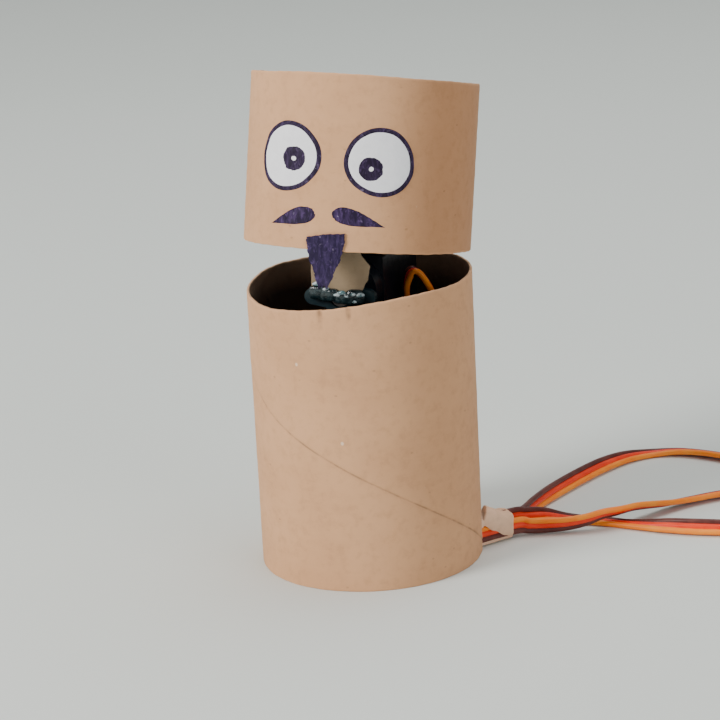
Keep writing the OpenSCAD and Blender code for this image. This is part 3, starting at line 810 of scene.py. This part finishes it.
# Along the strip's foot, over the horn in front of it
for number, (dx, dz, size) in enumerate(((-3.9, 1.0, (1.9, 0.9, 1.25)), (-1.7, 0.8, (1.9, 1.0, 1.2)),
                                         (0.9, 0.2, (2.0, 0.9, 1.1)), (3.5, 0.5, (1.9, 0.9, 1.3)))):
    glue_blob(f"glue_block_{number}", "tilt", (tilt_axis.x + dx, strip_front - 0.2, tilt_axis.z + dz), size,
              50 + number, TEAL_GLUE_PAINTED_SHADE, 0.55)
for number, (dx, dz, size) in enumerate((
        (-4.1, 2.9, (0.9, 0.4, 0.4)), (-2.3, 2.0, (0.7, 0.4, 0.3)), (-0.2, 0.9, (0.8, 0.45, 0.35)),
        (0.9, 1.3, (1.0, 0.45, 0.45)), (2.0, 0.7, (1.1, 0.5, 0.45)), (3.2, 1.1, (0.9, 0.45, 0.4)),
        (3.4, -0.1, (0.7, 0.45, 0.55)), (4.6, 0.8, (0.8, 0.45, 0.5)))):
    glue_blob(f"glue_foot_{number}", "tilt", (tilt_axis.x + dx, strip_front - 0.75, tilt_axis.z + dz), size,
              60 + number)
# Between the strip and the nod servo's ear, and between the nod horn and the head's wall
glue_blob("glue_ear_low", "tilt", (2.4, strip_back + 0.9, nod_axis.z - 4.6), (2.4, 1.2, 1.6), 71)
glue_blob("glue_ear_high", "tilt", (2.2, strip_back + 0.9, nod_axis.z + 4.4), (2.2, 1.2, 1.5), 72)
horn_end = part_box("nod_horn")[1].x / MM
glue_blob("glue_horn_low", "nod", (horn_end + 0.5, nod_axis.y + 0.4, nod_axis.z - 6.4), (0.9, 1.9, 2.2), 73)
glue_blob("glue_horn_high", "nod", (horn_end + 0.7, nod_axis.y + 0.4, nod_axis.z + 6.2), (0.9, 1.9, 2.2), 74)
# Between the turn horn and the tilt servo that stands on it, and at the turn servo's foot
horn_top_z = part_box("turn_horn")[1].z / MM
glue_blob("glue_turn_back", "turn", (tilt_axis.x, 5.2, horn_top_z + 1.6), (2.6, 2.4, 2.2), 75)
glue_blob("glue_turn_front", "turn", (tilt_axis.x + 0.6, -3.4, horn_top_z + 1.0), (2.4, 1.6, 1.5), 76)
base_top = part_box("base_disc")[1].z / MM
for number, (x, y) in enumerate(((-11, -6.6), (2, -6.7), (-6, 6.6))):
    glue_blob(f"glue_base_{number}", "base", (x, y, base_top + 0.5), (3.0, 1.1, 0.9), 80 + number)


# ---------------------------------------------------------------- leads
def smooth_route(route, steps=8):
    """The route with more points on a smooth curve through its own, of any number of coordinates."""
    ends = [route[0]] + list(route) + [route[-1]]
    fine = []
    for a, b, c, d in zip(ends, ends[1:], ends[2:], ends[3:]):
        for k in range(steps):
            t = k / steps
            fine.append([0.5 * (2 * q + (r - p) * t + (2 * p - 5 * q + 4 * r - s) * t * t
                                + (3 * q - p - 3 * r + s) * t ** 3) for p, q, r, s in zip(a, b, c, d)])
    return fine + [list(route[-1])]


def section():
    """Outline of three wires side by side, each point with the wire that its next edge belongs to."""
    outline = []
    for side, wires, angles in ((1, (0, 1, 2), range(162, 17, -24)), (-1, (2, 1, 0), range(18, 163, 24))):
        for w in wires:
            for degrees in angles:
                a = math.radians(degrees)
                outline.append((((w - 1) + 0.5 * math.cos(a)) * WIRE_D, side * 0.5 * math.sin(a) * WIRE_D, w))
    return outline


def ribbon_piece(name, route, hint=None, flip=False):
    """Three wires along a route of [x, y, z, twist], and their middle line. Without twist they lie side by
    side along hint, or level if there is none; flip turns their order over."""
    fine = smooth_route(route)
    shape = section()
    points, kinds = [], []
    for i, p in enumerate(fine):
        before, after = Vector(fine[max(i - 1, 0)][:3]), Vector(fine[min(i + 1, len(fine) - 1)][:3])
        along = (after - before).normalized()
        if hint is None:
            side = Vector((0, 0, 1)).cross(along)
        else:
            side = Vector(hint) - Vector(hint).dot(along) * along
        side.normalize()
        twist = math.radians(p[3])
        wide = side * math.cos(twist) + along.cross(side) * math.sin(twist)
        thick = along.cross(wide)
        points.extend(tuple(Vector(p[:3]) + wide * u + thick * v) for u, v, _ in shape)
    count = len(shape)
    faces = grid_faces(len(fine), count, True)
    for r in range(len(fine) - 1):
        for c in range(count):
            kinds.append(2 - shape[c][2] if flip else shape[c][2])
    faces += [tuple(range(count))[::-1], tuple((len(fine) - 1) * count + c for c in range(count))]
    kinds += [1, 1]
    piece = mesh_object(name, points, faces, faces_material=kinds)
    sharpen(piece, 70)
    return piece, [tuple(c * MM for c in p[:3]) for p in fine]


LEAD_GAP = 1.4                          # between the middles of the leads, side by side in the wrap
LEAD_HEIGHTS = {-1: 2.5, 0: 4.2, 1: 3.1}
WRAP_MOUTH = 5.8                        # where the leads leave the wrap, along its direction


def lying(p):
    """A point of a lead on the table, from its lift above it: the twist sets how high its middle is."""
    twist, clear = math.radians(p[3]), 0.05
    high = clear + LEAD_W / 2 * abs(math.sin(twist)) + WIRE_D / 2 * abs(math.cos(twist))
    return [p[0], p[1], p[2] + high, p[3]]


def in_wrap(s, k):
    """Place of lead k (-1, 0 or 1) inside the wrap, s along it and standing on its edge."""
    c, d = math.cos(WRAP_DIR), math.sin(WRAP_DIR)
    apart = LEAD_GAP * k
    return [WRAP_AT[0] + s * c - apart * d, WRAP_AT[1] + s * d + apart * c, LEAD_HEIGHTS[k], 90]


def into_wrap(k, twist, steps):
    """The last stretch of an inner lead, coming down into the wrap."""
    places = [in_wrap(s, k) for s in steps]
    return [[p[0], p[1], p[2] + 0.3 * max(0, -10 - s) ** 2, twist] for p, s in zip(places, steps)]


# On the table: x, y, lift above the table and twist, from the wrap to the plug
TURN_ROUTE = [[25.8, 18.5, 0.6, 90], [26.4, 23, 0, 90], [27.2, 28, 0, 85], [28.6, 34, 0, 75],
              [30.6, 41, 0, 60], [33.2, 49, 0, 50], [36.2, 57, 0, 38], [39.8, 64, 0, 20], [44.4, 68.6, 0, 2],
              [50.4, 70.2, 0, -10], [57, 69.2, 0, -16], [64, 66.8, 0, -16], [71, 64.2, 0, -12],
              [78, 62.2, 0, -6], [86, 61, 0, 0]]
TILT_ROUTE = [[29.6, 14.8, 0.1, 100], [33.2, 16, 0, 108], [37, 17.4, 0.1, 116], [40.6, 18.9, 0.7, 124],
              [43.6, 20.6, 1.6, 134], [46.6, 23, 1.8, 142], [49.2, 26.2, 1.8, 148], [51.8, 29.8, 1.2, 153],
              [54.8, 34, 0.4, 158], [58.6, 38.4, 0, 162], [63.4, 42.6, 0, 164], [68.2, 45.8, 0, 167],
              [73, 48.2, 0, 170], [80, 49.8, 0, 176], [88, 50.4, 0, 180]]
NOD_ROUTE = [[28.2, 17.2, 1.4, 70], [31.6, 20.6, 0.8, 40], [35.4, 23, 0.2, 10], [39.6, 23.8, 0, 0],
             [44, 23.6, 0, 0], [48, 23, 0, 0], [52, 22.2, 0, 10], [57, 21.2, 0, 30], [63, 20.8, 0, 42],
             [70, 21.6, 0, 38], [78, 24, 0, 15], [88, 26.6, 0, 0]]
# Inside the tubes: x, y, z and twist, from the servo towards the wrap
TURN_INNER = [[-15.9, 0, 7.25, 90], [-17.2, 0, 7.25, 75], [-19, 2, 7.2, 30], [-19, 6.4, 7, 0],
              [-15.6, 11.8, 6.8, 0], [-9, 16.6, 6.8, 0], [-1, 18.4, 6.8, 0], [6, 17, 6.6, 0],
              [10.6, 13, 4.8, 0], [12.4, 8.4, 3.4, 0], [13, 4.8, 3.1, 0], [13.9, 3.1, 3.1, 0]]
TILT_SLACK = [[0.8, 14.25, 41.3, -60], [0.8, 14.25, 39.6, -60], [3, 14.6, 37.8, -30], [7, 14.4, 38.2, 0],
              [9.4, 11.4, 43, -20], [9, 6.6, 49, -30], [8.8, 3.2, 54.4, -35], [9.6, 2, 58, -20],
              [11, 2, 59.2, 0], [12.6, 2.6, 57.6, 20], [14.2, 3.6, 53.6, 30], [15, 4.2, 46, 35],
              [15.4, 3.4, 34, 45], [15.6, 0.6, 22, 65], [14.8, -2.6, 12, 85]]
NOD_UPPER = [[-10.15, 12.4, 76.5, 90], [-10.15, 13.8, 76.5, 75], [-10.1, 15.8, 74.6, 30],
             [-10, 16.8, 70, 0], [-9.4, 16.6, 64, 0], [-9, 15.4, 58, 0], [-8.8, 15, 54, 0]]
NOD_SLACK = [[-8.8, 15, 53.8, -60], [-8.6, 15.4, 47, -60], [-7.6, 16.6, 40, -60], [-4, 18, 33, -60],
             [3, 17.6, 27, -60], [8.4, 14.4, 20, -60], [10.8, 9.4, 14.4, -75], [11.6, 4, 10.4, -85],
             [12.6, 0.2, 7.8, -90]]
ACROSS_WRAP = (-math.sin(WRAP_DIR), math.cos(WRAP_DIR), 0)


def make_outer_leads():
    """The three leads that lie on the table, each out of the wrap and into its plug."""
    for name, route, k, flip in (("turn", TURN_ROUTE, 1, True), ("tilt", TILT_ROUTE, -1, False),
                                 ("nod", NOD_ROUTE, 0, True)):
        full = [in_wrap(-6, k), in_wrap(WRAP_MOUTH, k)] + [lying(p) for p in route]
        piece, middle = ribbon_piece(f"{name}_lead_wires", full, flip=flip)
        finish_piece(piece, "base", WIRES, [f"{name}_lead"])


def make_inner_leads():
    """The leads inside the tubes. Those that cross a joint stay in their rest shape and ride on no body."""
    piece, _ = ribbon_piece("turn_inner_wires", TURN_INNER + into_wrap(1, 0, (-9, -6)), (0, 0, 1), flip=True)
    finish_piece(piece, "base", WIRES, ["turn_lead_inner"])
    for name, route, hint, flip, node, bodies, heights in (
            ("tilt_slack_wires", TILT_SLACK + into_wrap(-1, 90, (-13.5, -11, -8.5, -6)), ACROSS_WRAP, True,
             "tilt_lead_slack", ("turn", "base"), (37, 13)),
            ("nod_slack_wires", NOD_SLACK + into_wrap(0, -90, (-9.5, -6)), ACROSS_WRAP, False,
             "nod_lead_slack", ("turn", "base"), (50, 14)),
            ("nod_upper_wires", NOD_UPPER, (1, 0, 0), False, "nod_lead_upper", ("tilt", "turn"), (74, 56))):
        piece, _ = ribbon_piece(name, route, hint, flip)
        finish_piece(piece, None, WIRES, [node])
        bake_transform(piece)


make_outer_leads()
make_inner_leads()


# ---------------------------------------------------------------- card wrap round the leads
def make_wrap():
    """A strip of card tape folded round the leads, with its near lower side torn off towards the tube."""
    thick, gap, around, along = 0.42, 0.1, 96, 26
    first_end, turned = 222, 356        # degrees round the leads
    uneven = wave(51, (3, 5, 9), 0.25)
    points, worn = [], []
    base = Matrix.Translation((*WRAP_AT, 0)) @ Matrix.Rotation(WRAP_DIR, 4, "Z")
    for layer in (1, 0):
        inner = (layer - 1) * thick
        for i in range(along + 1):
            t = i / along
            x = WRAP_FROM + 0.4 + (WRAP_TO - WRAP_FROM - 1.4) * t
            torn = 4.6 * (1 - min(max((x + 2.5) / 7.2, 0), 1)) + 0.15 * math.sin(x * 2.3)
            half_w = WRAP_W / 2 - gap - 0.35 * t + inner
            half_h = WRAP_H / 2 - gap - 0.3 * t + inner
            for c in range(around + 1):
                share = c / around
                a = math.radians(first_end - turned * share)
                u = math.copysign(abs(math.cos(a)) ** 0.5, math.cos(a))
                v = math.copysign(abs(math.sin(a)) ** 0.5, math.sin(a))
                y = half_w * u
                outside_tube = (base @ Vector((x, y, 0))).length - TUBE_R
                flare = 0
                if v > 0 and outside_tube > 0.2:
                    opening = 1.9 * smooth(outside_tube, 0.2, 1) * (1 - smooth(x, -2, 3.6))
                    flare = opening + 0.15 * math.sin(3 * x + 2 * y)
                z = WRAP_H / 2 - 0.2 * t + (half_h + flare) * v
                if share < 0.3:
                    low = torn + (0 if layer else 0.05)
                    fold = max(0, 1 - (z - low) / 1.6) if z > low else 1
                    z = max(z, low)
                    y += 0.45 * fold * (1 if x > -3 else 0.3)
                ripple = uneven(a) * (t - 0.5) + 0.1 * math.sin(t * 9 + 2 * a)
                points.append((x + ripple, y, max(z, 0.04 + (1 - layer) * 0.25)))
                worn.append(max(0, t - 0.95) * 9 + max(0, 0.02 - share) * 30)
    piece = mesh_object("wrap_card", points, sheet_faces(along + 1, around + 1), base)
    sharpen(piece, 45)
    paint(piece, edge=worn)
    finish_piece(piece, "base", [TAPE_CARD], ["cable_wrap"])


make_wrap()


# ---------------------------------------------------------------- floor and light
def make_stage():
    """A pale floor that curves up into a wall behind the object, sizes in metres."""
    floor_material = Nodes("studio_floor")
    haze = floor_material.noise(3, detail=2)
    color = floor_material.mix(haze, (0.7, 0.74, 0.7), (0.74, 0.77, 0.74))
    size, behind, bend, steps, turn = 2.5, 0.9, 0.5, 16, math.radians(18)
    angles = [math.pi / 2 * k / steps for k in range(steps + 1)]
    profile = ([(-size, 0)] + [(behind + bend * math.sin(a), bend - bend * math.cos(a)) for a in angles]
               + [(behind + bend, size)])
    points = [(x, y, z) for y, z in profile for x in (-size, size)]
    faces = [(2 * k, 2 * k + 1, 2 * k + 3, 2 * k + 2) for k in range(len(profile) - 1)]
    mesh = bpy.data.meshes.new("studio_floor")
    mesh.from_pydata([Matrix.Rotation(turn, 4, "Z") @ Vector(p) for p in points], [], faces)
    mesh.polygons.foreach_set("use_smooth", [True] * len(faces))
    mesh.materials.append(floor_material.finish(color, 0.9))
    floor = bpy.data.objects.new("studio_floor", mesh)
    bpy.context.scene.collection.objects.link(floor)


def area_light(name, place, aim, size, power, color=(1, 1, 1)):
    """A round lamp that shines from place to aim, in metres and watts."""
    data = bpy.data.lights.new(name, "AREA")
    data.shape = "DISK"
    data.size = size
    data.energy = power
    data.color = color
    lamp = bpy.data.objects.new(name, data)
    bpy.context.scene.collection.objects.link(lamp)
    lamp.location = place
    lamp.rotation_euler = (Vector(aim) - Vector(place)).to_track_quat("-Z", "Y").to_euler()


def make_lights():
    """A key light from the front left, a weak fill from the right, a top light and a pale sky."""
    aim, sky_color, sky_strength = (0, 0, 0.05), (0.9, 0.93, 0.95, 1), 0.35
    area_light("key", (-0.68, -0.75, 0.66), aim, 0.5, 14, (1, 0.98, 0.95))
    area_light("fill", (0.8, -0.5, 0.45), aim, 0.7, 2.4, (0.97, 0.98, 1))
    area_light("top", (0.1, 0.25, 1.0), aim, 0.8, 5)
    world = bpy.data.worlds.new("studio")
    world.use_nodes = True
    sky = world.node_tree.nodes["Background"]
    sky.inputs["Color"].default_value = sky_color
    sky.inputs["Strength"].default_value = sky_strength
    bpy.context.scene.world = world


make_stage()
make_lights()

bpy.context.view_layer.update()
